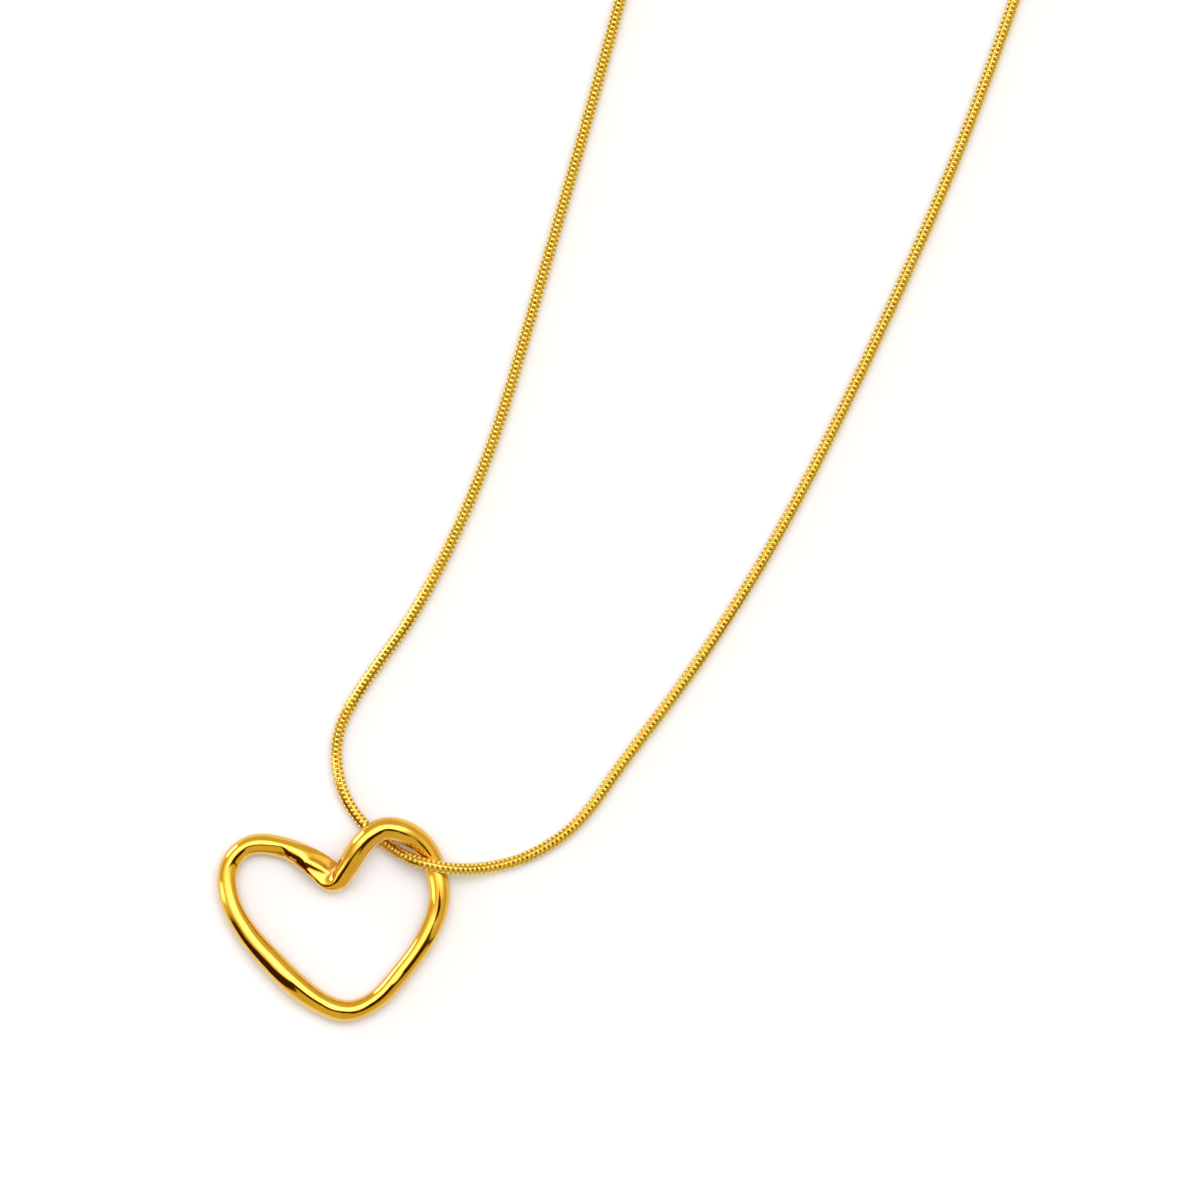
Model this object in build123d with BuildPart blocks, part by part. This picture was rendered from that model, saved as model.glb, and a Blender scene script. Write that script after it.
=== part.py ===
from build123d import *
import os
from math import cos, pi, radians, sin, tan
from typing import NamedTuple

# A necklace laid flat: an open heart of one thick round wire, threaded on a round
# snake chain whose two ends meet in a barrel clasp. Millimetres, +Z up. The floor is
# z = 0, the loop's long way runs along Y, the heart is at its -Y end and the clasp at
# its +Y end. The origin is the bottom centre of the whole laid necklace.

# Driving sizes of the heart. The place is the joint of its two lobes, and the turn is
# how far the heart lies turned from the loop's long way, counter-clockwise from above.
HEART_WIDTH = 22.4
HEART_HEIGHT = 19.8
WIRE_D = 2.1
HEART_X = -14.7
HEART_Y = -96.0
HEART_TURN = 18

# Driving sizes of the chain and of the clasp that closes it.
CHAIN_D = 1.2
CLASP_LENGTH = 12.0
CLASP_D = 2.6
CLASP_EDGE = 0.4
SOCKET_DEPTH = 2.8
CLASP_X = 1.1
CLASP_Y = 108.0

# Clearances: between the wire and the chain where one crosses the other, round the
# chain in a socket of the clasp, and between the chain's end and the socket's bottom.
CROSS_GAP = 0.15
SOCKET_GAP = 0.1
SEAT_GAP = 0.1

# Heights that follow from the sizes above.
LOBE_LIFT = CHAIN_D + CROSS_GAP
ON_FLOOR = CHAIN_D / 2
IN_CLASP = CLASP_D / 2
OVER_WIRE = WIRE_D + CROSS_GAP + CHAIN_D / 2
CLIMB = 0.4 * OVER_WIRE

# The reach of the chain into the clasp.
CHAIN_END = CLASP_LENGTH / 2 - SOCKET_DEPTH + SEAT_GAP

# The chain's route: x, y and the height of its axis, from the clasp down the left
# strand, under the heart's right lobe, over its right side and back to the clasp.
ROUTE = [
    (CLASP_X - CHAIN_END, CLASP_Y, IN_CLASP),
    (-8.5, CLASP_Y, IN_CLASP),
    (-16.0, 104.4, ON_FLOOR),
    (-20.9, 97.5, ON_FLOOR),
    (-22.6, 87.0, ON_FLOOR),
    (-22.0, 71.0, ON_FLOOR),
    (-20.1, 50.0, ON_FLOOR),
    (-17.6, 27.0, ON_FLOOR),
    (-15.5, 4.0, ON_FLOOR),
    (-14.4, -18.0, ON_FLOOR),
    (-13.75, -37.0, ON_FLOOR),
    (-13.25, -53.5, ON_FLOOR),
    (-15.0, -68.5, ON_FLOOR),
    (-18.4, -78.3, ON_FLOOR),
    (-19.15, -83.3, ON_FLOOR),
    (-17.3, -87.65, ON_FLOOR),
    (-14.3, -90.3, ON_FLOOR),
    (-10.9, -91.65, ON_FLOOR),
    (-8.2, -92.2, OVER_WIRE),
    (-4.7, -91.85, OVER_WIRE),
    (-1.1, -90.65, CLIMB),
    (2.5, -88.2, ON_FLOOR),
    (5.8, -84.0, ON_FLOOR),
    (7.9, -77.0, ON_FLOOR),
    (12.0, -65.5, ON_FLOOR),
    (15.75, -50.5, ON_FLOOR),
    (18.6, -31.0, ON_FLOOR),
    (20.7, -10.0, ON_FLOOR),
    (21.2, 12.0, ON_FLOOR),
    (22.3, 34.0, ON_FLOOR),
    (24.2, 54.5, ON_FLOOR),
    (25.4, 73.0, ON_FLOOR),
    (25.1, 88.0, ON_FLOOR),
    (22.9, 97.9, ON_FLOOR),
    (18.1, 104.5, ON_FLOOR),
    (10.6, CLASP_Y, IN_CLASP),
    (CLASP_X + CHAIN_END, CLASP_Y, IN_CLASP),
]
ARC_SHARE = 0.45


class Section(NamedTuple):
    """One place on the heart's wire."""

    x: float  # across the heart from its joint, a share of the heart's width
    y: float  # up the heart from its joint, a share of the heart's height
    thickness: float  # of the wire there, a share of its nominal diameter
    lift: float  # of its under side above the floor, a share of the lobe's lift
    drawn: bool = False  # whether the wire's cross-section is drawn there


# The wire from its rounded end in the joint, round the left lobe and down the left side.
LEFT_WIRE = [
    Section(0.000, -0.010, 1.17, 0.10, drawn=True),
    Section(-0.048, 0.024, 1.14, 0.08),
    Section(-0.092, 0.063, 1.13, 0.05),
    Section(-0.140, 0.098, 1.11, 0.02),
    Section(-0.191, 0.130, 1.05, 0.00, drawn=True),
    Section(-0.261, 0.155, 1.00, 0.00),
    Section(-0.330, 0.165, 0.97, 0.00),
    Section(-0.395, 0.146, 0.93, 0.00),
    Section(-0.442, 0.100, 0.92, 0.00, drawn=True),
    Section(-0.469, 0.034, 0.92, 0.00),
    Section(-0.471, -0.058, 0.93, 0.00),
    Section(-0.446, -0.155, 0.96, 0.00, drawn=True),
    Section(-0.392, -0.257, 1.02, 0.00),
    Section(-0.325, -0.353, 1.11, 0.00),
    Section(-0.242, -0.451, 1.17, 0.00, drawn=True),
]

# The wire from there round the tip, up the right side, over the right lobe and down to
# its rounded end in the joint.
RIGHT_WIRE = [
    Section(-0.146, -0.549, 1.13, 0.00),
    Section(-0.057, -0.614, 1.05, 0.00),
    Section(0.036, -0.645, 1.03, 0.00),
    Section(0.106, -0.628, 0.94, 0.00, drawn=True),
    Section(0.176, -0.578, 0.92, 0.00),
    Section(0.255, -0.484, 0.92, 0.00),
    Section(0.326, -0.383, 0.92, 0.00),
    Section(0.386, -0.273, 0.94, 0.00, drawn=True),
    Section(0.419, -0.187, 0.97, 0.00),
    Section(0.435, -0.102, 0.99, 0.00),
    Section(0.432, -0.019, 1.00, 0.00),
    Section(0.411, 0.068, 1.01, 0.02, drawn=True),
    Section(0.383, 0.130, 1.04, 0.16),
    Section(0.328, 0.197, 1.10, 0.48),
    Section(0.265, 0.233, 1.12, 0.85),
    Section(0.206, 0.240, 1.07, 1.00, drawn=True),
    Section(0.143, 0.206, 1.08, 1.03),
    Section(0.096, 0.150, 1.09, 1.00),
    Section(0.053, 0.070, 1.06, 0.78),
    Section(0.011, -0.015, 1.06, 0.50, drawn=True),
]


def place(section: Section) -> Vector:
    """Where a section's centre lies in the necklace."""
    across = section.x * HEART_WIDTH
    up = section.y * HEART_HEIGHT
    turn = radians(HEART_TURN)
    return Vector(
        HEART_X + across * cos(turn) - up * sin(turn),
        HEART_Y + across * sin(turn) + up * cos(turn),
        section.lift * LOBE_LIFT + section.thickness * WIRE_D / 2,
    )


def plane_across(path: Edge, centre: Vector) -> Plane:
    """The plane square to a path at one of its points, its x axis level."""
    along = path.tangent_at(centre)
    return Plane(origin=centre, x_dir=along.cross(Vector(0, 0, 1)), z_dir=along)


def arc_radii(points: list[Vector]) -> list[float]:
    """The arc at each inner point of a route, as large as its two runs allow."""
    radii = []
    for before, point, after in zip(points, points[1:], points[2:]):
        arriving = point - before
        leaving = after - point
        run = min(arriving.length, leaving.length)
        half_turn = radians(arriving.get_angle(leaving)) / 2
        radii.append(ARC_SHARE * run / tan(half_turn))
    return radii


# The heart: two swept stretches of one smooth axis that share a section on the left side
# and run into each other at the joint of the lobes, each with a rounded end there.
with BuildLine() as wire_line:
    Spline(*[place(section) for section in LEFT_WIRE + RIGHT_WIRE])
wire_axis = wire_line.edge()
meeting = wire_axis.param_at_point(place(LEFT_WIRE[-1]))
stretches = (
    (wire_axis.trim(0, meeting), LEFT_WIRE),
    (wire_axis.trim(meeting, 1), LEFT_WIRE[-1:] + RIGHT_WIRE),
)

with BuildPart() as heart:
    for path, sections in stretches:
        for section in sections:
            if section.drawn:
                with BuildSketch(plane_across(wire_axis, place(section))):
                    Circle(section.thickness * WIRE_D / 2)
        sweep(path=path, multisection=True)
    for section, arc in ((LEFT_WIRE[0], 180), (RIGHT_WIRE[-1], -180)):
        end = plane_across(wire_axis, place(section))
        with BuildSketch(end):
            Circle(section.thickness * WIRE_D / 2)
            split(bisect_by=Plane.YZ)
        revolve(axis=Axis(end.origin, end.y_dir), revolution_arc=arc)

# The chain: one tube along its route.
route_points = [Vector(*point) for point in ROUTE]
route_radii = arc_radii(route_points)

with BuildPart() as chain:
    with BuildLine() as chain_line:
        FilletPolyline(*route_points, radius=route_radii)
    chain_path = chain_line.wire()
    with BuildSketch(Plane(origin=chain_path @ 0, z_dir=chain_path % 0)):
        Circle(CHAIN_D / 2)
    sweep()

# The clasp: a barrel with rounded shoulders and a blind socket in each end.
clasp_plane = Plane(origin=(CLASP_X, CLASP_Y, IN_CLASP), x_dir=(1, 0, 0), z_dir=(0, -1, 0))
clasp_end = CLASP_LENGTH / 2
socket_bottom = clasp_end - SOCKET_DEPTH
socket_radius = CHAIN_D / 2 + SOCKET_GAP

with BuildPart() as clasp:
    with BuildSketch(clasp_plane):
        with BuildLine():
            Polyline(
                (-socket_bottom, 0),
                (-socket_bottom, socket_radius),
                (-clasp_end, socket_radius),
                (-clasp_end, CLASP_D / 2),
                (clasp_end, CLASP_D / 2),
                (clasp_end, socket_radius),
                (socket_bottom, socket_radius),
                (socket_bottom, 0),
                close=True,
            )
        make_face()
    revolve(axis=Axis(clasp_plane.origin, clasp_plane.x_dir))
    shoulders = clasp.edges().filter_by(GeomType.CIRCLE).group_by(SortBy.RADIUS)[-1]
    fillet(shoulders, CLASP_EDGE)

heart.part.label = "heart"
chain.part.label = "chain"
clasp.part.label = "clasp"

os.makedirs("parts", exist_ok=True)
export_step(heart.part, "parts/heart.step")
export_step(chain.part, "parts/chain.step")
export_step(clasp.part, "parts/clasp.step")

# What the sizes come to.
chain_length = chain_path.length
tube_volume = chain_length * pi * CHAIN_D**2 / 4
whole = heart.part.bounding_box().add(chain.part.bounding_box()).add(clasp.part.bounding_box())
print("arc radii of the chain:", [round(radius, 1) for radius in route_radii])
print("chain length", round(chain_length, 2), "loop", round(chain_length + 2 * CHAIN_END, 2))
print("chain volume", round(chain.part.volume, 2), "section times length", round(tube_volume, 2))
print("heart volume", round(heart.part.volume, 2), "clasp volume", round(clasp.part.volume, 2))
print("box", whole.min, whole.max)
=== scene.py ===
import logging
import math
from dataclasses import dataclass, field
from enum import Enum
from typing import NamedTuple

import bmesh
import bpy
import numpy as np
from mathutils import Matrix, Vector
from mathutils.kdtree import KDTree


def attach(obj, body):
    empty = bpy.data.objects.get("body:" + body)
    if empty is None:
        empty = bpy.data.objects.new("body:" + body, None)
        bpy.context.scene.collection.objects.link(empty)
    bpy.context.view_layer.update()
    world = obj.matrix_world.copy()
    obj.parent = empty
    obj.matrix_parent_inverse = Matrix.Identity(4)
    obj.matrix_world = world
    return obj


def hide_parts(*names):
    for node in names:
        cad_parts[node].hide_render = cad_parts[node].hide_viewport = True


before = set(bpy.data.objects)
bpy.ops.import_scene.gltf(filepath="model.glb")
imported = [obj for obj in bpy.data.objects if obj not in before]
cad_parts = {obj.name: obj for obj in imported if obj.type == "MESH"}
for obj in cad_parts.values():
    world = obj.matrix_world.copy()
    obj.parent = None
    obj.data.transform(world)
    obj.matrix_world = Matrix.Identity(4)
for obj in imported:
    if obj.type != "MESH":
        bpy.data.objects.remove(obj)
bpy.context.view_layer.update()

# A heart pendant on a round snake chain, laid flat on white paper and seen from straight
# above. Metres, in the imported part's own frame: z = 0 is the paper, +Y runs from the
# heart to the clasp.

log = logging.getLogger("necklace")

# The least edge and the least other length, in metres, that anything is divided by.
SHORTEST_EDGE = 1e-6
TINY = 1e-9

# The driving thicknesses, and the clearance where the chain and the wire cross.
CHAIN_D = 0.0012
WIRE_D = 0.0021
CLASP_D = 0.0026
CROSS_GAP = 0.00015

# How far the right lobe is lifted, and the heights of the chain's axis along its route.
LOBE_LIFT = CHAIN_D + CROSS_GAP
ON_FLOOR = CHAIN_D / 2
IN_CLASP = CLASP_D / 2
OVER_WIRE = WIRE_D + CROSS_GAP + CHAIN_D / 2
CLIMB = 0.4 * OVER_WIRE

# The chain's route, from the clasp down the left strand, under the heart's right lobe,
# over its right side and back to the clasp.
ROUTE = [
    (-0.0022, 0.1080, IN_CLASP),
    (-0.0085, 0.1080, IN_CLASP),
    (-0.0160, 0.1044, ON_FLOOR),
    (-0.0209, 0.0975, ON_FLOOR),
    (-0.0226, 0.0870, ON_FLOOR),
    (-0.0220, 0.0710, ON_FLOOR),
    (-0.0201, 0.0500, ON_FLOOR),
    (-0.0176, 0.0270, ON_FLOOR),
    (-0.0155, 0.0040, ON_FLOOR),
    (-0.0144, -0.0180, ON_FLOOR),
    (-0.01375, -0.0370, ON_FLOOR),
    (-0.01325, -0.0535, ON_FLOOR),
    (-0.0150, -0.0685, ON_FLOOR),
    (-0.0184, -0.0783, ON_FLOOR),
    (-0.01915, -0.0833, ON_FLOOR),
    (-0.0173, -0.08765, ON_FLOOR),
    (-0.0143, -0.0903, ON_FLOOR),
    (-0.0109, -0.09165, ON_FLOOR),
    (-0.0082, -0.0922, OVER_WIRE),
    (-0.0047, -0.09185, OVER_WIRE),
    (-0.0011, -0.09065, CLIMB),
    (0.0025, -0.0882, ON_FLOOR),
    (0.0058, -0.0840, ON_FLOOR),
    (0.0079, -0.0770, ON_FLOOR),
    (0.0120, -0.0655, ON_FLOOR),
    (0.01575, -0.0505, ON_FLOOR),
    (0.0186, -0.0310, ON_FLOOR),
    (0.0207, -0.0100, ON_FLOOR),
    (0.0212, 0.0120, ON_FLOOR),
    (0.0223, 0.0340, ON_FLOOR),
    (0.0242, 0.0545, ON_FLOOR),
    (0.0254, 0.0730, ON_FLOOR),
    (0.0251, 0.0880, ON_FLOOR),
    (0.0229, 0.0979, ON_FLOOR),
    (0.0181, 0.1045, ON_FLOOR),
    (0.0106, 0.1080, IN_CLASP),
    (0.0044, 0.1080, IN_CLASP),
]


class WirePlace(NamedTuple):
    """One place on the heart's wire, in shares of the heart's own sizes."""

    x: float  # across the heart from its joint, a share of the heart's width
    y: float  # up the heart from its joint, a share of the heart's height
    thickness: float  # of the wire there, a share of its nominal diameter
    lift: float  # of its under side above the paper, a share of the lobe's lift


# The wire from its rounded end in the joint, round the left lobe and down the left side.
LEFT_WIRE = [
    WirePlace(-0.028, 0.050, 0.76, 0.34),
    WirePlace(-0.062, 0.066, 0.92, 0.20),
    WirePlace(-0.097, 0.082, 1.04, 0.09),
    WirePlace(-0.142, 0.103, 1.10, 0.02),
    WirePlace(-0.191, 0.130, 1.05, 0.00),
    WirePlace(-0.261, 0.155, 1.00, 0.00),
    WirePlace(-0.330, 0.165, 0.97, 0.00),
    WirePlace(-0.395, 0.146, 0.93, 0.00),
    WirePlace(-0.442, 0.100, 0.92, 0.00),
    WirePlace(-0.469, 0.034, 0.92, 0.00),
    WirePlace(-0.471, -0.058, 0.93, 0.00),
    WirePlace(-0.446, -0.155, 0.96, 0.00),
    WirePlace(-0.392, -0.257, 1.02, 0.00),
    WirePlace(-0.325, -0.353, 1.11, 0.00),
    WirePlace(-0.242, -0.451, 1.17, 0.00),
]

# The wire from there round the tip, up the right side, over the right lobe, down to the
# joint and round its elbow into the left lobe's end.
RIGHT_WIRE = [
    WirePlace(-0.146, -0.549, 1.13, 0.00),
    WirePlace(-0.057, -0.614, 1.05, 0.00),
    WirePlace(0.036, -0.645, 1.03, 0.00),
    WirePlace(0.106, -0.628, 0.94, 0.00),
    WirePlace(0.176, -0.578, 0.92, 0.00),
    WirePlace(0.255, -0.484, 0.92, 0.00),
    WirePlace(0.326, -0.383, 0.92, 0.00),
    WirePlace(0.386, -0.273, 0.94, 0.00),
    WirePlace(0.419, -0.187, 0.97, 0.00),
    WirePlace(0.435, -0.102, 0.99, 0.00),
    WirePlace(0.432, -0.019, 1.00, 0.00),
    WirePlace(0.411, 0.068, 1.01, 0.02),
    WirePlace(0.383, 0.130, 1.04, 0.16),
    WirePlace(0.328, 0.197, 1.10, 0.48),
    WirePlace(0.265, 0.233, 1.12, 0.85),
    WirePlace(0.206, 0.240, 1.07, 1.00),
    WirePlace(0.143, 0.206, 1.08, 1.03),
    WirePlace(0.096, 0.150, 1.09, 1.00),
    WirePlace(0.053, 0.070, 1.06, 0.78),
    WirePlace(0.024, 0.020, 1.03, 0.52),
    WirePlace(0.000, -0.010, 1.02, 0.30),
    WirePlace(-0.036, -0.015, 0.93, 0.31),
    WirePlace(-0.077, 0.017, 0.83, 0.46),
    WirePlace(-0.116, 0.051, 0.76, 0.56),
    WirePlace(-0.140, 0.069, 0.68, 0.46),
    WirePlace(-0.166, 0.087, 0.58, 0.36),
]


class Flat(NamedTuple):
    """A flattened place on the heart's wire, cut by a plane."""

    x: float  # of its middle, across the heart from its joint, a share of the width
    y: float  # up the heart from its joint, a share of the height
    height: float  # of the plane there above the paper, in wire diameters
    tilt: float  # of the plane's facing from straight up, in degrees
    towards: float  # the way it leans, in degrees from the heart's own +X
    reach: float  # how far round its middle it cuts, in wire diameters
    edge: float  # how softly it runs into the round wire, in wire diameters


# The flats of the left lobe's wire: its end beside the joint, and the lobe's inner side.
LEFT_FLATS = (
    Flat(-0.120, 0.097, 1.01, 26, 34, 1.7, 0.12),
    Flat(-0.305, 0.124, 0.82, 46, -90, 1.10, 0.16),
)

# The flats of the right arm's wire: half way down its side, and the top of its thin tail.
RIGHT_FLATS = (
    Flat(0.345, -0.310, 1.18, 5, 150, 2.4, 0.5),
    Flat(-0.116, 0.051, 1.02, 13, 20, 1.30, 0.06),
)


class Slot(Enum):
    """The record's material slots for the pieces made here; this script does not use them."""

    HEART = "heart_gold"
    CHAIN = "chain_gold"


def new_object(name: str, data: bpy.types.ID) -> bpy.types.Object:
    """A new object at the origin.

    Args:
        name: the object's name.
        data: the mesh, curve or camera that it shows.

    Returns:
        The object, linked to the scene.
    """
    made = bpy.data.objects.new(name, data)
    bpy.context.scene.collection.objects.link(made)
    return made


def smooth(mesh: bpy.types.Mesh) -> None:
    """Shades every face of a mesh smooth."""
    mesh.polygons.foreach_set("use_smooth", [True] * len(mesh.polygons))
    mesh.update()


def mark_painted_shade(mesh: bpy.types.Mesh, deepest: float) -> None:
    """Keeps how hollow a mesh is at each vertex, from 0 to 1, in an attribute that the material turns
    into painted shade.

    Args:
        mesh: the mesh, whose faces all look outward.
        deepest: the mean curvature of a hollow that counts as 1, per metre.
    """
    count = len(mesh.vertices)
    points = np.empty(count * 3)
    mesh.vertices.foreach_get("co", points)
    normals = np.empty(count * 3)
    mesh.vertex_normals.foreach_get("vector", normals)
    ends = np.empty(len(mesh.edges) * 2, dtype=int)
    mesh.edges.foreach_get("vertices", ends)
    points, normals, ends = points.reshape(-1, 3), normals.reshape(-1, 3), ends.reshape(-1, 2)
    bend = np.zeros(count)
    for here, there in ((ends[:, 0], ends[:, 1]), (ends[:, 1], ends[:, 0])):
        way = points[there] - points[here]
        rise = (normals[here] * way).sum(axis=1) / np.maximum((way**2).sum(axis=1), SHORTEST_EDGE**2)
        bend += np.bincount(here, weights=2 * rise, minlength=count)
    bend /= np.maximum(np.bincount(ends.ravel(), minlength=count), 1)
    # The material darkens by this value: a painted shade in the hollows.
    recess = mesh.attributes.new("recess", "FLOAT", "POINT")
    recess.data.foreach_set("value", np.clip(bend / deepest, 0.0, 1.0))


def finished_mesh(source: bpy.types.Object, name: str) -> bpy.types.Mesh:
    """A plain mesh of an object as its modifiers leave it.

    Args:
        source: the object whose modifiers are evaluated.
        name: the new mesh's name.

    Returns:
        The new mesh, which no modifier needs.
    """
    bpy.context.view_layer.update()
    depsgraph = bpy.context.evaluated_depsgraph_get()
    mesh = bpy.data.meshes.new_from_object(source.evaluated_get(depsgraph), depsgraph=depsgraph)
    mesh.name = name
    return mesh


# Finishes

Socket = bpy.types.NodeSocket
Triple = tuple[float, float, float]  # a colour, or another three numbers
Range = tuple[float, float]  # from low to high
Number = Socket | float  # what a node's input takes
Colour = Socket | Triple


class NodeChain:
    """Adds nodes to a tree and links them, so that a graph reads as a list of steps."""

    def __init__(self, tree: bpy.types.NodeTree) -> None:
        """Keeps the node tree that the nodes go into."""
        self.tree = tree

    def add(self, kind: str, links: dict | None = None, **settings: object) -> bpy.types.Node:
        """One node with its settings, values and incoming links.

        Args:
            kind: the node's type name.
            links: input name or number to a socket that feeds it, or to a value.
            **settings: attributes of the node itself.

        Returns:
            The node.
        """
        node = self.tree.nodes.new(kind)
        for name, value in settings.items():
            setattr(node, name, value)
        for key, value in (links or {}).items():
            if isinstance(value, Socket):
                self.tree.links.new(value, node.inputs[key])
            else:
                node.inputs[key].default_value = value
        return node

    def math(self, operation: str, *values: Number) -> Socket:
        """The result of a Math node whose inputs are sockets or numbers."""
        return self.add("ShaderNodeMath", dict(enumerate(values)), operation=operation).outputs[0]

    def ramp(
        self, value: Number, low: Number, high: Number, to_low: Number = 0.0, to_high: Number = 1.0
    ) -> Socket:
        """A value eased from one range into another."""
        links = {"Value": value, "From Min": low, "From Max": high, "To Min": to_low, "To Max": to_high}
        return self.add("ShaderNodeMapRange", links, interpolation_type="SMOOTHSTEP").outputs[0]

    def noise(self, place: Socket, scale: Socket, detail: float, roughness: float) -> Socket:
        """The strength of a noise texture at a place, from 0 to 1."""
        links = {"Vector": place, "Scale": scale, "Detail": detail, "Roughness": roughness}
        return self.add("ShaderNodeTexNoise", links).outputs["Fac"]


@dataclass(frozen=True)
class Polish:
    """Polished metal: its cloudy tone, its hairline scratches and its soft ripples."""

    cloud_detail: float = 3.0
    cloud_roughness: float = 0.55
    scratch_turn: Triple = (0.3, 0.2, 0.9)
    scratch_stretch: Triple = (1.0, 0.06, 0.4)
    scratch_detail: float = 2.0
    scratch_roughness: float = 0.6
    scratch_range: Range = (0.58, 0.72)  # of the noise, from none to full depth
    cloud_haze: float = 0.75  # how much the clouds dull the polish
    scratch_haze: float = 0.35
    haze_range: Range = (0.2, 0.9)  # from the low roughness to the high
    scratch_depth: float = 0.06  # a share of the clouds' height

    def group(self) -> bpy.types.NodeTree:
        """The node group, whose scales and roughness each finish sets.

        Returns:
            A shader node group with named inputs and outputs.
        """
        tree = bpy.data.node_groups.new("polished metal", "ShaderNodeTree")
        face = tree.interface
        face.new_socket(name="Vector", in_out="INPUT", socket_type="NodeSocketVector")
        for way, names in (
            ("INPUT", ("Cloud Scale", "Scratch Scale", "Roughness Low", "Roughness High")),
            ("OUTPUT", ("Tone", "Roughness", "Height")),
        ):
            for name in names:
                face.new_socket(name=name, in_out=way, socket_type="NodeSocketFloat")
        chain = NodeChain(tree)
        given = chain.add("NodeGroupInput").outputs
        place = given["Vector"]
        cloud = chain.noise(place, given["Cloud Scale"], self.cloud_detail, self.cloud_roughness)
        links = {"Vector": place, "Rotation": self.scratch_turn, "Scale": self.scratch_stretch}
        stretched = chain.add("ShaderNodeMapping", links).outputs[0]
        scale = given["Scratch Scale"]
        hairline = chain.noise(stretched, scale, self.scratch_detail, self.scratch_roughness)
        scratch = chain.ramp(hairline, *self.scratch_range)
        clouded = chain.math("MULTIPLY", cloud, self.cloud_haze)
        haze = chain.math("ADD", clouded, chain.math("MULTIPLY", scratch, self.scratch_haze))
        roughness = chain.add(
            "ShaderNodeMapRange",
            {
                "Value": haze,
                "From Min": self.haze_range[0],
                "From Max": self.haze_range[1],
                "To Min": given["Roughness Low"],
                "To Max": given["Roughness High"],
            },
        ).outputs[0]
        height = chain.math("SUBTRACT", cloud, chain.math("MULTIPLY", scratch, self.scratch_depth))
        chain.add("NodeGroupOutput", {"Tone": cloud, "Roughness": roughness, "Height": height})
        return tree


@dataclass(frozen=True)
class GoldFinish:
    """Yellow gold plate: its colours, its polish and a painted shade that darkens its recesses."""

    name: str
    light: Triple = (0.80, 0.45, 0.022)  # where the clouds are bright
    deep: Triple = (0.74, 0.395, 0.013)
    # The colour of the painted shade in the recesses.
    recess: Triple = (0.50, 0.22, 0.012)
    tone_range: Range = (0.35, 0.65)  # of the clouds, from deep to light
    coat: float = 1.0
    coat_ior: float = 1.5
    coat_roughness: float = 0.05
    roughness: Range = (0.05, 0.13)
    cloud_scale: float = 420.0
    scratch_scale: float = 9000.0
    ripple: float = 0.02
    ripple_depth: float = 0.00002
    painted_shade_attribute: str = ""
    recess_roughness: float = 0.0  # that a recess adds

    def material(self, polish: bpy.types.NodeTree) -> bpy.types.Material:
        """The procedural material of this finish.

        Args:
            polish: the node group that Polish made.

        Returns:
            The material.
        """
        material = bpy.data.materials.new(self.name)
        material.use_nodes = True
        material.node_tree.nodes.clear()
        chain = NodeChain(material.node_tree)
        place = chain.add("ShaderNodeTexCoord").outputs["Object"]
        marks = chain.add(
            "ShaderNodeGroup",
            {
                "Vector": place,
                "Cloud Scale": self.cloud_scale,
                "Scratch Scale": self.scratch_scale,
                "Roughness Low": self.roughness[0],
                "Roughness High": self.roughness[1],
            },
            node_tree=polish,
        ).outputs
        tone = chain.ramp(marks["Tone"], *self.tone_range)
        colour = self._mixed(chain, tone, self.deep, self.light)
        roughness = marks["Roughness"]
        # Painted shade: where the attribute is high the colour is darkened towards the shade colour,
        # and the roughness rises too.
        if self.painted_shade_attribute:
            kept = chain.add("ShaderNodeAttribute", attribute_name=self.painted_shade_attribute)
            hollow = kept.outputs["Fac"]
            colour = self._mixed(chain, hollow, colour, self.recess)
            dull = chain.math("MULTIPLY", hollow, self.recess_roughness)
            roughness = chain.math("ADD", roughness, dull)
        bump = chain.add(
            "ShaderNodeBump",
            {"Height": marks["Height"], "Strength": self.ripple, "Distance": self.ripple_depth},
        ).outputs["Normal"]
        shader = chain.add(
            "ShaderNodeBsdfPrincipled",
            {
                "Base Color": colour,
                "Metallic": 1.0,
                "Roughness": roughness,
                "Normal": bump,
                "Coat Weight": self.coat,
                "Coat IOR": self.coat_ior,
                "Coat Roughness": self.coat_roughness,
            },
        )
        chain.add("ShaderNodeOutputMaterial", {"Surface": shader.outputs["BSDF"]})
        return material

    @staticmethod
    def _mixed(chain: NodeChain, share: Socket, first: Colour, second: Colour) -> Socket:
        """A colour between two.

        Args:
            chain: the material's nodes.
            share: how much of the second there is.
            first: a socket or three numbers.
            second: a socket or three numbers.

        Returns:
            The socket of the mixed colour.
        """
        node = chain.add("ShaderNodeMix", data_type="RGBA")

        # The node's sockets for numbers bear the same names, so these go by their places.
        for place, value in {0: share, 6: first, 7: second}.items():
            if isinstance(value, Socket):
                chain.tree.links.new(value, node.inputs[place])
            else:
                node.inputs[place].default_value = (*value, 1.0)
        return node.outputs[2]


# The heart


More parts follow.
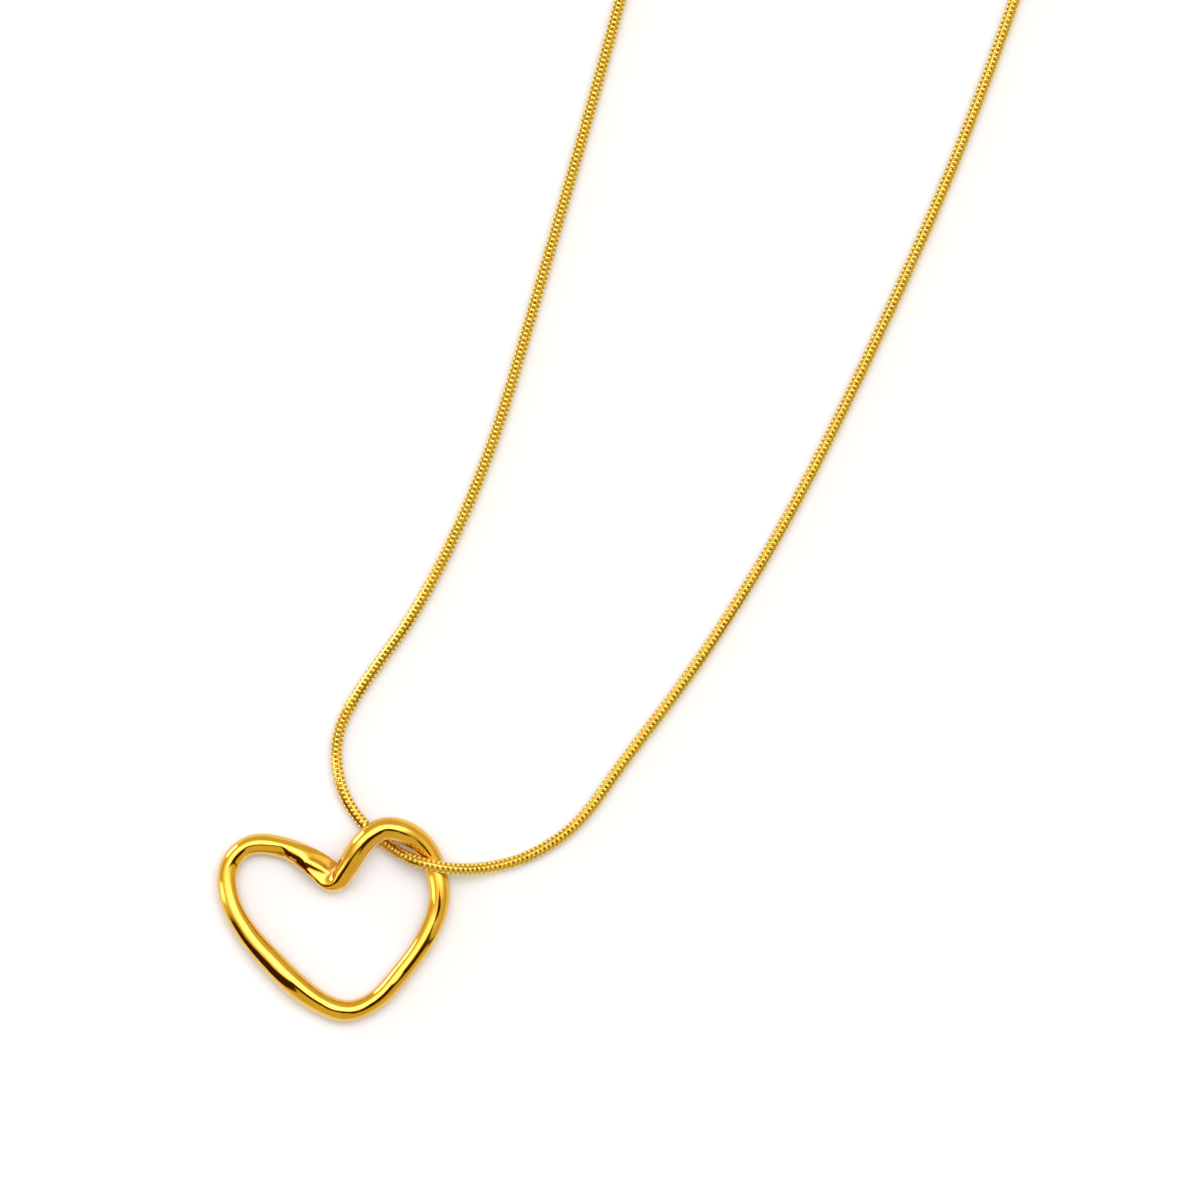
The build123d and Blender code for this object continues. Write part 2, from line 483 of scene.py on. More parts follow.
@dataclass
class WireLine:
    """A smooth centre line through rows of numbers, with the wire's radius along it."""

    rows: np.ndarray  # x, y, z, radius

    def sampled(self, spacing: float) -> tuple[np.ndarray, np.ndarray]:
        """Even samples of the natural cubic spline through the rows.

        Args:
            spacing: the distance between samples.

        Returns:
            The samples as rows of x, y, z and radius, and the unit tangents.
        """
        knots = np.linalg.norm(np.diff(self.rows[:, :3], axis=0), axis=1).cumsum()
        knots = np.concatenate([[0.0], knots])
        steps = np.diff(knots)
        bends = self._second_derivatives(steps)
        where = np.arange(0.0, knots[-1], spacing)
        span = np.clip(np.searchsorted(knots, where, side="right") - 1, 0, len(steps) - 1)
        step = steps[span][:, None]
        before = (knots[span + 1] - where)[:, None]
        after = (where - knots[span])[:, None]
        first, second = self.rows[span], self.rows[span + 1]
        samples = (
            (bends[span] * before**3 + bends[span + 1] * after**3) / (6 * step)
            + (first / step - bends[span] * step / 6) * before
            + (second / step - bends[span + 1] * step / 6) * after
        )
        tangents = np.gradient(samples[:, :3], axis=0)
        tangents /= np.linalg.norm(tangents, axis=1)[:, None]
        return samples, tangents

    def _second_derivatives(self, steps: np.ndarray) -> np.ndarray:
        """The spline's second derivatives at the rows, nought at both ends.

        Args:
            steps: the distance from each row to the next.

        Returns:
            The derivatives, a row for each row.
        """
        count = len(self.rows)
        system = np.eye(count)
        wanted = np.zeros_like(self.rows)
        slopes = np.diff(self.rows, axis=0) / steps[:, None]
        for k in range(1, count - 1):
            system[k, k - 1 : k + 2] = steps[k - 1], 2 * (steps[k - 1] + steps[k]), steps[k]
            wanted[k] = 6 * (slopes[k] - slopes[k - 1])
        return np.linalg.solve(system, wanted)


class Wave(NamedTuple):
    """A slight waviness of the wire's surface, which only ever lies below its full round."""

    length: float  # of one wave along the wire
    turns: int  # of the wave round the wire
    depth: float
    phase: float

    def depth_at(self, along: np.ndarray, angle: np.ndarray) -> np.ndarray:
        """How far the surface lies below its full round.

        Args:
            along: places along the wire.
            angle: angles round it.

        Returns:
            The depth at each place.
        """
        swing = np.sin(2 * math.pi * along / self.length + self.turns * angle + self.phase)
        return self.depth * (1 + swing) / 2


def level_sides(tangents: np.ndarray) -> np.ndarray:
    """The level unit vectors square to unit tangents, one for each row."""
    sides = np.cross(tangents, (0.0, 0.0, 1.0))
    return sides / np.linalg.norm(sides, axis=1)[:, None]


def blended(
    first: np.ndarray, second: np.ndarray, reach: np.ndarray | float
) -> tuple[np.ndarray, np.ndarray]:
    """The smaller of two distances, with a smooth change from one to the other.

    Args:
        first: distances.
        second: distances from the same points.
        reach: how far the two may differ where they still blend.

    Returns:
        The blended distances, and the share of the first in each.
    """
    near = np.maximum(reach - np.abs(first - second), 0.0) / reach
    share = np.clip(0.5 + 0.5 * (second - first) / reach, 0.0, 1.0)
    return np.minimum(first, second) - near**2 * reach / 4, share


class Arm:
    """One arm of the wire as a distance field round its sampled centre line."""

    def __init__(self, samples: np.ndarray, tangents: np.ndarray, start: float, step: float) -> None:
        """Builds the search tree of an arm.

        Args:
            samples: rows of x, y, z and radius.
            tangents: the unit tangents.
            start: how far along the wire the arm begins.
            step: the distance between samples.
        """
        self.samples = samples
        self.tangents = tangents
        self.sides = level_sides(tangents)
        self.along = start + step * np.arange(len(samples))
        self.tree = KDTree(len(samples))
        for k, sample in enumerate(samples):
            self.tree.insert(sample[:3], k)
        self.tree.balance()

    def distance(self, points: np.ndarray, waves: tuple[Wave, ...]) -> tuple[np.ndarray, np.ndarray]:
        """How far points lie outside the arm.

        Args:
            points: rows of x, y and z.
            waves: the slight unevenness of the polished wire.

        Returns:
            The signed distances and the directions in which they grow.
        """
        nearest = np.array([self.tree.find(point)[1] for point in points])
        centres = self.samples[nearest, :3]
        forward = ((points - centres) * self.tangents[nearest]).sum(axis=1)
        inside = (nearest > 0) & (nearest < len(self.samples) - 1)
        centres = centres + (forward * inside)[:, None] * self.tangents[nearest]
        away = points - centres
        reach = np.linalg.norm(away, axis=1)
        away /= np.maximum(reach, TINY)[:, None]
        round_wire = np.arctan2((away * self.sides[nearest]).sum(axis=1), away[:, 2])
        hollow = sum(wave.depth_at(self.along[nearest], round_wire) for wave in waves)
        return reach - self.samples[nearest, 3] + hollow, away


@dataclass
class WireHeart:
    """The open heart: one thick round wire whose two ends run into each other."""

    width: float = 0.0224
    height: float = 0.0198
    wire: float = WIRE_D
    joint: tuple[float, float] = (-0.0147, -0.0960)  # of its lobes, in the necklace
    turn: float = math.radians(18)
    lobe_lift: float = LOBE_LIFT
    sample: float = 0.00002  # along the centre line
    ring_sides: int = 32  # of the rough tube
    ring_stride: int = 8  # samples from one of its rings to the next
    cap_rings: tuple[float, ...] = (25.0, 50.0, 72.0)  # round its ends, in degrees
    voxel: float = 0.0001  # of the mesh that fuses the two ends
    crease: float = 0.00025  # how far the two ends' blend reaches, at the joint
    fillet: float = 0.0005  # and where the tail runs out in the left lobe's wire
    blend_at: Triple = (0.0028, 0.0040, 0.0052)  # from the joint: crease, fillet, no blend
    waves: tuple[Wave, ...] = (
        Wave(0.0053, 1, 0.000016, 0.4),
        Wave(0.0037, 2, 0.000007, 2.1),
        Wave(0.0079, -1, 0.000024, 4.4),
    )
    polish_rounds: int = 3  # how often the mesh is drawn onto the exact surface
    scale_up: float = 1000.0  # the voxel mesh is made this much larger and brought back
    least_slope: float = 0.05  # squared, of the blended field where a point is moved
    deepest: float = 1200.0  # mean curvature of a crease left unpolished and fully darkened by painted shade, per metre

    def build(self) -> bpy.types.Object:
        """The heart as one closed mesh.

        Returns:
            The heart's object, at the origin, unturned and unscaled.
        """
        rows = np.array([self._placed(place) for place in LEFT_WIRE + RIGHT_WIRE])
        samples, tangents = WireLine(rows).sampled(self.sample)
        rough = self._rough_tube(samples, tangents)
        mesh = self._fused(rough)
        half = len(samples) // 2
        arms = (
            Arm(samples[:half], tangents[:half], 0.0, self.sample),
            Arm(samples[half:], tangents[half:], half * self.sample, self.sample),
        )
        points = np.empty(len(mesh.vertices) * 3)
        mesh.vertices.foreach_get("co", points)
        points = points.reshape(-1, 3) / self.scale_up
        for _ in range(self.polish_rounds):
            points = self._onto_surface(points, arms)
        mesh.vertices.foreach_set("co", points.ravel())
        smooth(mesh)
        # Painted shade in the heart's creases, which the material darkens.
        mark_painted_shade(mesh, self.deepest)
        return new_object("open_heart", mesh)

    def _point(self, x: float, y: float) -> tuple[float, float]:
        """Where a place on the heart lies in the necklace.

        Args:
            x: across the heart from its joint, a share of its width.
            y: up the heart from its joint, a share of its height.

        Returns:
            The place's x and y.
        """
        across, up = x * self.width, y * self.height
        return (
            self.joint[0] + across * math.cos(self.turn) - up * math.sin(self.turn),
            self.joint[1] + across * math.sin(self.turn) + up * math.cos(self.turn),
        )

    def _placed(self, place: WirePlace) -> tuple[float, float, float, float]:
        """Where a place on the wire lies, and the wire's radius there."""
        radius = place.thickness * self.wire / 2
        return (*self._point(place.x, place.y), place.lift * self.lobe_lift + radius, radius)

    def _rough_tube(self, samples: np.ndarray, tangents: np.ndarray) -> bpy.types.Mesh:
        """A closed tube round the centre line with rounded ends, enlarged by scale_up.

        Args:
            samples: rows of x, y, z and radius.
            tangents: the unit tangents.

        Returns:
            The tube's mesh, whose two ends cross each other.
        """
        sides = level_sides(tangents)
        ups = np.cross(sides, tangents)
        picked = list(range(0, len(samples), self.ring_stride))
        start, end = picked[0], picked[-1]
        rings = [(start, *ring) for ring in self._cap(samples[start], -tangents[start])][::-1]
        rings += [(k, samples[k, :3], samples[k, 3]) for k in picked]
        rings += [(end, *ring) for ring in self._cap(samples[end], tangents[end])]
        work = bmesh.new()
        loops = []
        for k, centre, radius in rings:
            loop = []
            for j in range(self.ring_sides):
                angle = 2 * math.pi * j / self.ring_sides
                out = sides[k] * math.cos(angle) + ups[k] * math.sin(angle)
                loop.append(work.verts.new((centre + out * radius) * self.scale_up))
            loops.append(loop)
        for first, second in zip(loops, loops[1:]):
            for j in range(self.ring_sides):
                following = (j + 1) % self.ring_sides
                work.faces.new((first[j], first[following], second[following], second[j]))
        work.faces.new(loops[0])
        work.faces.new(loops[-1])
        bmesh.ops.recalc_face_normals(work, faces=work.faces)
        mesh = bpy.data.meshes.new("rough wire")
        work.to_mesh(mesh)
        work.free()
        return mesh

    def _cap(self, sample: np.ndarray, outward: np.ndarray) -> list[tuple[np.ndarray, float]]:
        """The rings that round off one end of the tube.

        Args:
            sample: the x, y, z and radius of the end.
            outward: the unit vector that points out of it.

        Returns:
            The centre and radius of each ring, outwards.
        """
        rings = []
        for lean in np.radians(self.cap_rings):
            centre = sample[:3] + outward * sample[3] * math.sin(lean)
            rings.append((centre, sample[3] * math.cos(lean)))
        return rings

    def _fused(self, rough: bpy.types.Mesh) -> bpy.types.Mesh:
        """One closed even mesh in place of a tube whose ends cross each other.

        Args:
            rough: the tube's mesh, which is removed.

        Returns:
            The new mesh, still enlarged by scale_up.
        """
        holder = new_object("rough_wire", rough)
        remesh = holder.modifiers.new("fuse", "REMESH")
        remesh.mode = "VOXEL"
        remesh.voxel_size = self.voxel * self.scale_up
        mesh = finished_mesh(holder, "open_heart")
        bpy.data.objects.remove(holder)
        bpy.data.meshes.remove(rough)
        return mesh

    def _flattened(
        self, points: np.ndarray, distance: np.ndarray, outward: np.ndarray, flat: Flat
    ) -> tuple[np.ndarray, np.ndarray]:
        """Cuts an arm's distance field by a flat's plane, softly and within its reach.

        Args:
            points: rows of x, y and z.
            distance: how far they lie outside the arm.
            outward: the directions in which that distance grows.
            flat: the flattened place.

        Returns:
            The distances and directions of the arm with its flat.
        """
        middle = np.array((*self._point(flat.x, flat.y), flat.height * self.wire))
        tilt, towards = math.radians(flat.tilt), math.radians(flat.towards) + self.turn
        facing = np.array(
            (math.sin(tilt) * math.cos(towards), math.sin(tilt) * math.sin(towards), math.cos(tilt))
        )
        above = (points - middle) @ facing
        far = np.linalg.norm(points - middle, axis=1) / (flat.reach * self.wire)

        # The cut is whole within half its reach and gone at its reach.
        fade = np.clip(2.0 - 2.0 * far, 0.0, 1.0)
        fade = fade * fade * (3 - 2 * fade)
        depth, flatness = blended(-above, -distance, flat.edge * self.wire)
        share = (fade * flatness)[:, None]
        return distance - fade * (depth + distance), share * facing + (1 - share) * outward

    def _onto_surface(self, points: np.ndarray, arms: tuple[Arm, Arm]) -> np.ndarray:
        """Moves points onto the two arms' common surface, blended near the joint.

        Args:
            points: rows of x, y and z.
            arms: the left arm and the right arm.

        Returns:
            The moved points.
        """
        left, left_out = arms[0].distance(points, self.waves)
        right, right_out = arms[1].distance(points, self.waves)
        for flat in LEFT_FLATS:
            left, left_out = self._flattened(points, left, left_out, flat)
        for flat in RIGHT_FLATS:
            right, right_out = self._flattened(points, right, right_out, flat)
        far = np.linalg.norm(points[:, :2] - self.joint, axis=1)
        reach = np.interp(far, self.blend_at, (self.crease, self.fillet, TINY))
        distance, share = blended(left, right, reach)
        outward = share[:, None] * left_out + (1 - share[:, None]) * right_out
        slope = np.maximum((outward**2).sum(axis=1), self.least_slope)
        return points - (distance / slope)[:, None] * outward


# The chain


@dataclass
class SnakeLink:
    """One link of the snake chain: a thin ring of rounded grains that step to and fro."""

    name: str = "snake_link"
    outer: float = CHAIN_D / 2
    grains: int = 6
    step: float = 0.00011  # of a grain along the chain, to either side
    shoulder: float = math.radians(16)  # half a grain's top, round the chain
    crown: float = 0.00001  # how far a grain falls off to its shoulders
    breadth: float = 0.00047  # of the ring along the chain, at a grain
    neck: float = 0.00040  # and between two grains
    valley: float = 0.00010  # how much lower it lies there
    brow: float = 0.00004  # how far a grain falls off along the chain
    brow_shade: float = 0.5  # how much shade is painted at its edges, from 0 to 1
    valley_shade: float = 0.7
    neck_shade: float = 1.0  # at the valley's edges

    def build(self) -> bpy.types.Object:
        """The link's mesh, its axis along Z, with the painted shade of its recesses.

        Returns:
            The link's object, hidden from renders.
        """
        work = bmesh.new()
        # The shade painted at each vertex, which darkens the gaps between the grains.
        hollow = work.verts.layers.float.new("recess")
        loops = []
        creases = []
        each = 2 * math.pi / self.grains
        for k in range(self.grains):
            shift = self.step if k % 2 == 0 else -self.step
            middle = each * (k + 0.5)
            for side in (-1, 0, 1):
                top = self.outer - self.crown * abs(side)
                section = (
                    (top, shift, 0.0),
                    (top - self.brow, shift + self.breadth / 2, self.brow_shade),
                    (top - self.brow, shift - self.breadth / 2, self.brow_shade),
                )
                loops.append(self._loop(work, hollow, middle + side * self.shoulder, section))
            low = self.outer - self.valley
            section = (
                (low, 0.0, self.valley_shade),
                (low - self.brow / 2, self.neck / 2, self.neck_shade),
                (low - self.brow / 2, -self.neck / 2, self.neck_shade),
            )
            loops.append(self._loop(work, hollow, middle + each / 2, section))
            creases.append(loops[-1])
        for first, second in zip(loops, loops[1:] + loops[:1]):
            for j in range(len(first)):
                following = (j + 1) % len(first)
                work.faces.new((first[j], second[j], second[following], first[following]))
        for loop in creases:
            for j in range(len(loop)):
                work.edges.get((loop[j], loop[(j + 1) % len(loop)])).smooth = False
        bmesh.ops.recalc_face_normals(work, faces=work.faces)
        mesh = bpy.data.meshes.new(self.name)
        work.to_mesh(mesh)
        work.free()
        smooth(mesh)
        link = new_object(self.name, mesh)
        link.hide_render = True
        return link

    @staticmethod
    def _loop(
        work: bmesh.types.BMesh,
        hollow: bmesh.types.BMLayerItem,
        angle: float,
        section: tuple[Triple, ...],
    ) -> list[bmesh.types.BMVert]:
        """One section of the ring as vertices.

        Args:
            work: the mesh they go into.
            hollow: the layer that keeps how much shade is painted on each vertex.
            angle: where the section lies round the chain.
            section: for each vertex its distance from the axis, its place along it and
                how much shade is painted on it.

        Returns:
            The vertices.
        """
        loop = []
        for out, along, recess in section:
            vertex = work.verts.new((out * math.cos(angle), out * math.sin(angle), along))
            vertex[hollow] = recess
            loop.append(vertex)
        return loop


@dataclass
class SnakeChain:
    """The whole chain: links along the route and the core they lie round, dark with painted shade."""

    link: SnakeLink = field(default_factory=SnakeLink)
    pitch: float = 0.00047  # from one link to the next
    twist: float = math.radians(0.01)  # of each link against the one before it
    wobble: float = math.radians(1.5)  # by which a link may stand askew
    core: float = 0.00056  # the core's radius
    core_sides: int = 12
    spans: int = 20  # points of the route's line for each of its control points
    seed: int = 7

    def build(self, gold: bpy.types.Material) -> bpy.types.Object:
        """The chain as one mesh of realized links.

        Args:
            gold: the chain's material.

        Returns:
            The chain's object.
        """
        link = self.link.build()
        holder = new_object("chain_route", self._route_line())
        modifier = holder.modifiers.new("links", "NODES")
        modifier.node_group = self._tree()
        values = {
            "Link": link,
            "Pitch": self.pitch,
            "Twist": self.twist,
            "Wobble": self.wobble,
            "Core Radius": self.core,
            "Core Sides": self.core_sides,
            "Seed": self.seed,
            "Finish": gold,
        }
        for item in modifier.node_group.interface.items_tree:
            if item.in_out == "INPUT" and item.name in values:
                modifier[item.identifier] = values[item.name]
        mesh = finished_mesh(holder, "snake_chain")
        for helper in (holder, link):
            data = helper.data
            bpy.data.objects.remove(helper)
            bpy.data.meshes.remove(data)
        return new_object("snake_chain", mesh)

    def _route_line(self) -> bpy.types.Mesh:
        """The route's smooth line.

        Returns:
            A mesh of points joined by edges.
        """
        curve = bpy.data.curves.new("chain_route", "CURVE")
        curve.dimensions = "3D"
        spline = curve.splines.new("NURBS")
        spline.points.add(len(ROUTE) - 1)
        for point, place in zip(spline.points, ROUTE):
            point.co = (*place, 1.0)
        spline.order_u = 3
        spline.use_endpoint_u = True
        spline.resolution_u = self.spans
        holder = new_object("chain_route_curve", curve)
        mesh = finished_mesh(holder, "chain_route")
        bpy.data.objects.remove(holder)
        bpy.data.curves.remove(curve)
        return mesh

    def _tree(self) -> bpy.types.NodeTree:
        """The geometry nodes that lay links along a line.

        Returns:
            A geometry node group with named inputs.
        """
        tree = bpy.data.node_groups.new("snake chain", "GeometryNodeTree")
        face = tree.interface
        for name, kind in (
            ("Line", "Geometry"),
            ("Link", "Object"),
            ("Pitch", "Float"),
            ("Twist", "Float"),
            ("Wobble", "Float"),
            ("Core Radius", "Float"),
            ("Core Sides", "Int"),
            ("Seed", "Int"),
            ("Finish", "Material"),
        ):
            face.new_socket(name=name, in_out="INPUT", socket_type="NodeSocket" + kind)
        face.new_socket(name="Chain", in_out="OUTPUT", socket_type="NodeSocketGeometry")
        chain = NodeChain(tree)
        given = chain.add("NodeGroupInput").outputs
        line = chain.add("GeometryNodeMeshToCurve", {"Mesh": given["Line"]}).outputs["Curve"]
        level = chain.add("GeometryNodeSetCurveNormal", {"Curve": line}, mode="Z_UP").outputs["Curve"]
        places = chain.add(
            "GeometryNodeCurveToPoints", {"Curve": level, "Length": given["Pitch"]}, mode="LENGTH"
        ).outputs
        index = chain.add("GeometryNodeInputIndex").outputs[0]
        roll = chain.math("MULTIPLY", index, given["Twist"])
        least = chain.math("MULTIPLY", given["Wobble"], -1.0)
        lean = chain.add(
            "FunctionNodeRandomValue",
            {"Min": least, "Max": given["Wobble"], "Seed": given["Seed"]},
            data_type="FLOAT_VECTOR",
        ).outputs["Value"]
        rolled = chain.add("ShaderNodeCombineXYZ", {"Z": roll}).outputs[0]
        turn = chain.add("ShaderNodeVectorMath", {0: lean, 1: rolled}, operation="ADD").outputs[0]
        by = chain.add("FunctionNodeEulerToRotation", {0: turn}).outputs[0]
        facing = chain.add(
            "FunctionNodeRotateRotation",
            {"Rotation": places["Rotation"], "Rotate By": by},
            rotation_space="LOCAL",
        ).outputs[0]
        link = chain.add("GeometryNodeObjectInfo", {"Object": given["Link"]}).outputs["Geometry"]
        links = chain.add(
            "GeometryNodeInstanceOnPoints",
            {"Points": places["Points"], "Instance": link, "Rotation": facing},
        ).outputs["Instances"]
        ring = chain.add(
            "GeometryNodeCurvePrimitiveCircle",
            {"Resolution": given["Core Sides"], "Radius": given["Core Radius"]},
        ).outputs["Curve"]
        core = chain.add(
            "GeometryNodeCurveToMesh", {"Curve": level, "Profile Curve": ring, "Fill Caps": True}
        ).outputs["Mesh"]
        # The core takes the full painted shade: it shows only in the gaps between the links.
        marked = chain.add(
            "GeometryNodeStoreNamedAttribute",
            {"Geometry": core, "Name": "recess", "Value": 1.0},
            data_type="FLOAT",
            domain="POINT",
        ).outputs["Geometry"]
        real = chain.add("GeometryNodeRealizeInstances", {"Geometry": links}).outputs["Geometry"]
        joined = chain.add("GeometryNodeJoinGeometry")
        for part in (real, marked):
            tree.links.new(part, joined.inputs["Geometry"])
        dressed = chain.add(
            "GeometryNodeSetMaterial", {"Geometry": joined.outputs[0], "Material": given["Finish"]}
        ).outputs["Geometry"]
        chain.add("NodeGroupOutput", {"Chain": dressed})
        return tree


# The studio


class EdgeRow(NamedTuple):
    """Where the dark edge below the light panel lies in one direction, in degrees."""

    turn: float  # from the picture's foot, to the right
    inner: float  # of its upper side, from straight up
    outer: float  # of its lower side


DARK_EDGE = (
    EdgeRow(-180, 84, 88),
    EdgeRow(-90, 60, 100),
    EdgeRow(-68, 38, 100),
    EdgeRow(-60, 32, 100),
    EdgeRow(-53, 22, 100),
    EdgeRow(-46, 16, 92),
    EdgeRow(-37, 12, 66),
    EdgeRow(-30, 9, 48),
    EdgeRow(-22, 6, 24),
    EdgeRow(4, 5, 25),
    EdgeRow(20, 4, 25),
    EdgeRow(28, 2, 40),
    EdgeRow(38, 2, 43),
    EdgeRow(48, 3, 42),
    EdgeRow(53, 12, 46),
    EdgeRow(57, 52, 82),
    EdgeRow(64, 84, 90),
    EdgeRow(180, 84, 88),
)


class Window(NamedTuple):
    """A low bright window in the studio's wall, in degrees."""

    turn: float  # of its middle from the picture's foot, to the right
    half: float  # half its breadth
    top: float  # of its upper side, from straight up
    light: float  # its strength


WINDOWS = (Window(-128, 9, 70, 9.0), Window(-82, 6, 48, 1.8))


@dataclass
class Studio:
    """White paper under a broad soft light, and the camera straight above."""

    centre: tuple[float, float] = (0.0010, -0.0629)  # of the camera's view on the paper
    roll: float = math.radians(18)
    frame_width: float = 0.1152
    lens: float = 300.0  # millimetres, as is the sensor
    sensor: float = 36.0
    clip_start: float = 0.01

    paper: float = 3.0
    paper_drop: float = 0.00002  # keeps the paper clear of the undersides
    paper_white: Triple = (0.86, 0.90, 0.88)
    paper_gloss: float = 0.1
    paper_roughness: Range = (0.85, 0.95)
    grain_scale: float = 900.0
    grain_detail: float = 4.0
    grain_range: Range = (0.3, 0.7)

    wall_colour: Triple = (0.78, 0.71, 0.36)
    panel_colour: Triple = (0.98, 0.95, 1.40)
    edge_colour: Triple = (0.055, 0.02, 0.002)
    lowest: float = 0.02  # the least height of a direction that its tangents are taken at
    panel_light: float = 3.7
    panel_fall: float = 1.8  # how much faster than e per unit of the oval it darkens
    panel_across: tuple[float, float] = (0.15, 1.05)  # middle and size, tangents from straight up
    panel_up: tuple[float, float] = (0.32, 0.48)
    window_soft: float = 5.0
    edge_sides: Range = (70.0, 62.0)  # degrees from the picture's foot
    edge_soft: float = 3.0

    def build(self) -> None:
        """Makes the paper, the light and the camera."""
        self._paper()
        self._sky()
        self._camera()
        bpy.context.scene.view_settings.view_transform = "Standard"

    def _camera(self) -> None:
        """The camera, looking straight down and rolled about its own line of sight."""
        data = bpy.data.cameras.new("camera")
        data.lens = self.lens
        data.sensor_width = self.sensor
        data.clip_start = self.clip_start
        camera = new_object("camera", data)
        away = self.frame_width * self.lens / self.sensor
        camera.location = (*self.centre, away)
        camera.rotation_euler = (0.0, 0.0, self.roll)
        bpy.context.scene.camera = camera

    def _paper(self) -> None:
        """The sheet of paper that the necklace lies on."""
        half = self.paper / 2
        mesh = bpy.data.meshes.new("paper")
        sheet = [(-half, -half, 0.0), (half, -half, 0.0), (half, half, 0.0), (-half, half, 0.0)]
        mesh.from_pydata(sheet, [], [(0, 1, 2, 3)])
        paper = new_object("paper", mesh)
        paper.location = (0.0, 0.0, -self.paper_drop)
        material = bpy.data.materials.new("white paper")
        material.use_nodes = True
        chain = NodeChain(material.node_tree)
        shader = material.node_tree.nodes["Principled BSDF"]
        noise = {"Scale": self.grain_scale, "Detail": self.grain_detail}
        grain = chain.add("ShaderNodeTexNoise", noise).outputs["Fac"]
        roughness = chain.ramp(grain, *self.grain_range, *self.paper_roughness)
        material.node_tree.links.new(roughness, shader.inputs["Roughness"])
        shader.inputs["Base Color"].default_value = (*self.paper_white, 1.0)
        shader.inputs["Specular IOR Level"].default_value = self.paper_gloss
        mesh.materials.append(material)

    def _sky(self) -> None:
        """The soft light of the room: pale walls, a ceiling panel, low windows, a dark edge."""
        world = bpy.data.worlds.new("studio")
        bpy.context.scene.world = world
        world.use_nodes = True
        world.node_tree.nodes.clear()
        chain = NodeChain(world.node_tree)
        way = chain.add("ShaderNodeTexCoord").outputs["Generated"]
        turned = chain.add(
            "ShaderNodeVectorRotate",
            {"Vector": way, "Axis": (0.0, 0.0, 1.0), "Angle": -self.roll},
            rotation_type="AXIS_ANGLE",
        ).outputs[0]
        parts = chain.add("ShaderNodeSeparateXYZ", {0: turned}).outputs
        height = chain.math("MAXIMUM", parts["Z"], self.lowest)
        across = chain.math("DIVIDE", parts["X"], height)
        up = chain.math("DIVIDE", parts["Y"], height)

        # The panel: a broad oval over the paper, brightest in its middle.
        oval = 0.0
        for place, (middle, size) in ((across, self.panel_across), (up, self.panel_up)):
            share = chain.math("DIVIDE", chain.math("SUBTRACT", place, middle), size)
            oval = chain.math("ADD", oval, chain.math("MULTIPLY", share, share))
        falling = chain.math("EXPONENT", chain.math("MULTIPLY", oval, -self.panel_fall))
        panel = chain.math("MULTIPLY", falling, self.panel_light)

        # Directions in degrees: away from straight up, and round the picture from its foot.
        tilt = chain.math("DEGREES", chain.math("ARCCOSINE", parts["Z"]))
        down = chain.math("MULTIPLY", parts["Y"], -1.0)
        turn = chain.math("DEGREES", chain.math("ARCTAN2", parts["X"], down))

        # The windows, which also give the shadows their way.
        bright = panel
        for window in WINDOWS:
            soft = self.window_soft
            off = chain.math("ABSOLUTE", chain.math("SUBTRACT", turn, window.turn))
            wide = chain.ramp(off, window.half + soft / 2, window.half - soft / 2)
            high = chain.ramp(tilt, window.top - soft, window.top + soft)
            pane = chain.math("MULTIPLY", chain.math("MULTIPLY", wide, high), window.light)
            bright = chain.math("ADD", bright, pane)

        # The dark edge below the panel, thin in the middle and broad to both sides.
        inner = self._curve(chain, turn, [(row.turn, row.inner) for row in DARK_EDGE])
        outer = self._curve(chain, turn, [(row.turn, row.outer) for row in DARK_EDGE])
        soft = self.edge_soft
        begun = chain.ramp(tilt, chain.math("SUBTRACT", inner, soft), chain.math("ADD", inner, soft))
        last, first = chain.math("ADD", outer, 2 * soft), chain.math("SUBTRACT", outer, 2 * soft)
        ended = chain.ramp(tilt, last, first)
        sides = chain.ramp(chain.math("ABSOLUTE", turn), *self.edge_sides)
        band = chain.math("MULTIPLY", chain.math("MULTIPLY", begun, ended), sides)
        open_sky = chain.math("SUBTRACT", 1.0, band)

        lights = (
            (self.wall_colour, open_sky),
            (self.panel_colour, chain.math("MULTIPLY", bright, open_sky)),
            (self.edge_colour, band),
        )
        total = None
        for colour, strength in lights:
            links = {"Color": (*colour, 1.0), "Strength": strength}
            shader = chain.add("ShaderNodeBackground", links).outputs[0]
            if total:
                shader = chain.add("ShaderNodeAddShader", {0: total, 1: shader}).outputs[0]
            total = shader
        chain.add("ShaderNodeOutputWorld", {"Surface": total})

    @staticmethod
    def _curve(chain: NodeChain, turn: Socket, points: list[tuple[float, float]]) -> Socket:
        """A smooth line through points given in degrees.

        Args:
            chain: the world's nodes.
            turn: the socket of a direction between -180 and 180 degrees.
            points: directions and the angles wanted there.

        Returns:
            The angle at the direction, in degrees.
        """
        share = chain.math("ADD", chain.math("DIVIDE", turn, 360.0), 0.5)
        node = chain.add("ShaderNodeFloatCurve", {"Value": share})
        line = node.mapping.curves[0]
        places = [(x / 360 + 0.5, y / 180) for x, y in points]
        line.points[0].location = places[0]
        line.points[1].location = places[-1]
        for place in places[1:-1]:
            line.points.new(*place)
        node.mapping.update()
        return chain.math("MULTIPLY", node.outputs[0], 180.0)


def settle(piece: bpy.types.Object, node: str) -> None:
    """Makes a piece ride on the part's one body in place of a CAD node.

    Args:
        piece: the finished piece.
        node: the CAD node that it stands for.
    """
    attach(piece, "root")
    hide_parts(node)
    log.info("%s: %d faces", piece.name, len(piece.data.polygons))


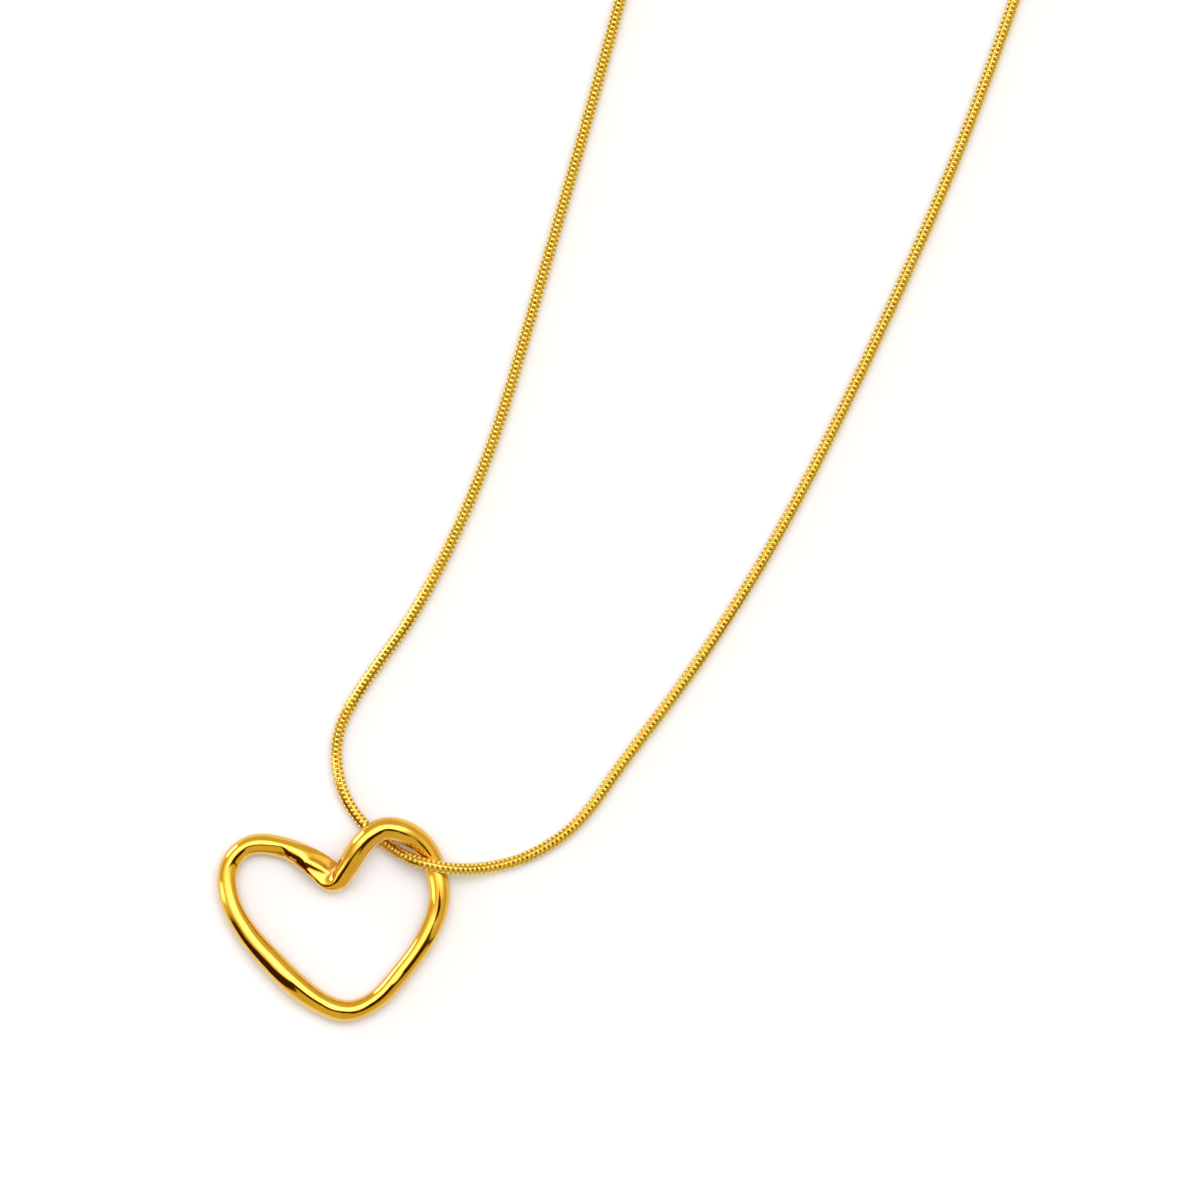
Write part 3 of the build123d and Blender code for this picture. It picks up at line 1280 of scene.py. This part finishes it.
def main() -> None:
    """Builds the studio, the heart and the chain, and gives the clasp its gold."""
    logging.basicConfig(level=logging.INFO, format="%(name)s: %(message)s")
    Studio().build()
    polish = Polish().group()
    # The heart's creases are darkened by painted shade and made rougher.
    heart_gold = GoldFinish(
        "polished gold", painted_shade_attribute="recess", recess_roughness=0.45
    ).material(polish)
    # The chain's gold is lighter and paler than the heart's, painted light for the highlights its
    # grains catch; its darker colour is painted shade in the gaps.
    chain_gold = GoldFinish(
        "link gold",
        light=(1.0, 0.73, 0.11),
        deep=(0.98, 0.67, 0.08),
        recess=(0.66, 0.39, 0.03),
        roughness=(0.11, 0.20),
        painted_shade_attribute="recess",
    ).material(polish)
    clasp_gold = GoldFinish("clasp gold", cloud_scale=300.0).material(polish)

    heart = WireHeart().build()
    heart.data.materials.append(heart_gold)
    settle(heart, "heart")

    chain = SnakeChain().build(chain_gold)
    settle(chain, "chain")

    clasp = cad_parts["clasp"]
    clasp.data.materials.clear()
    clasp.data.materials.append(clasp_gold)


if __name__ == "__main__":
    main()
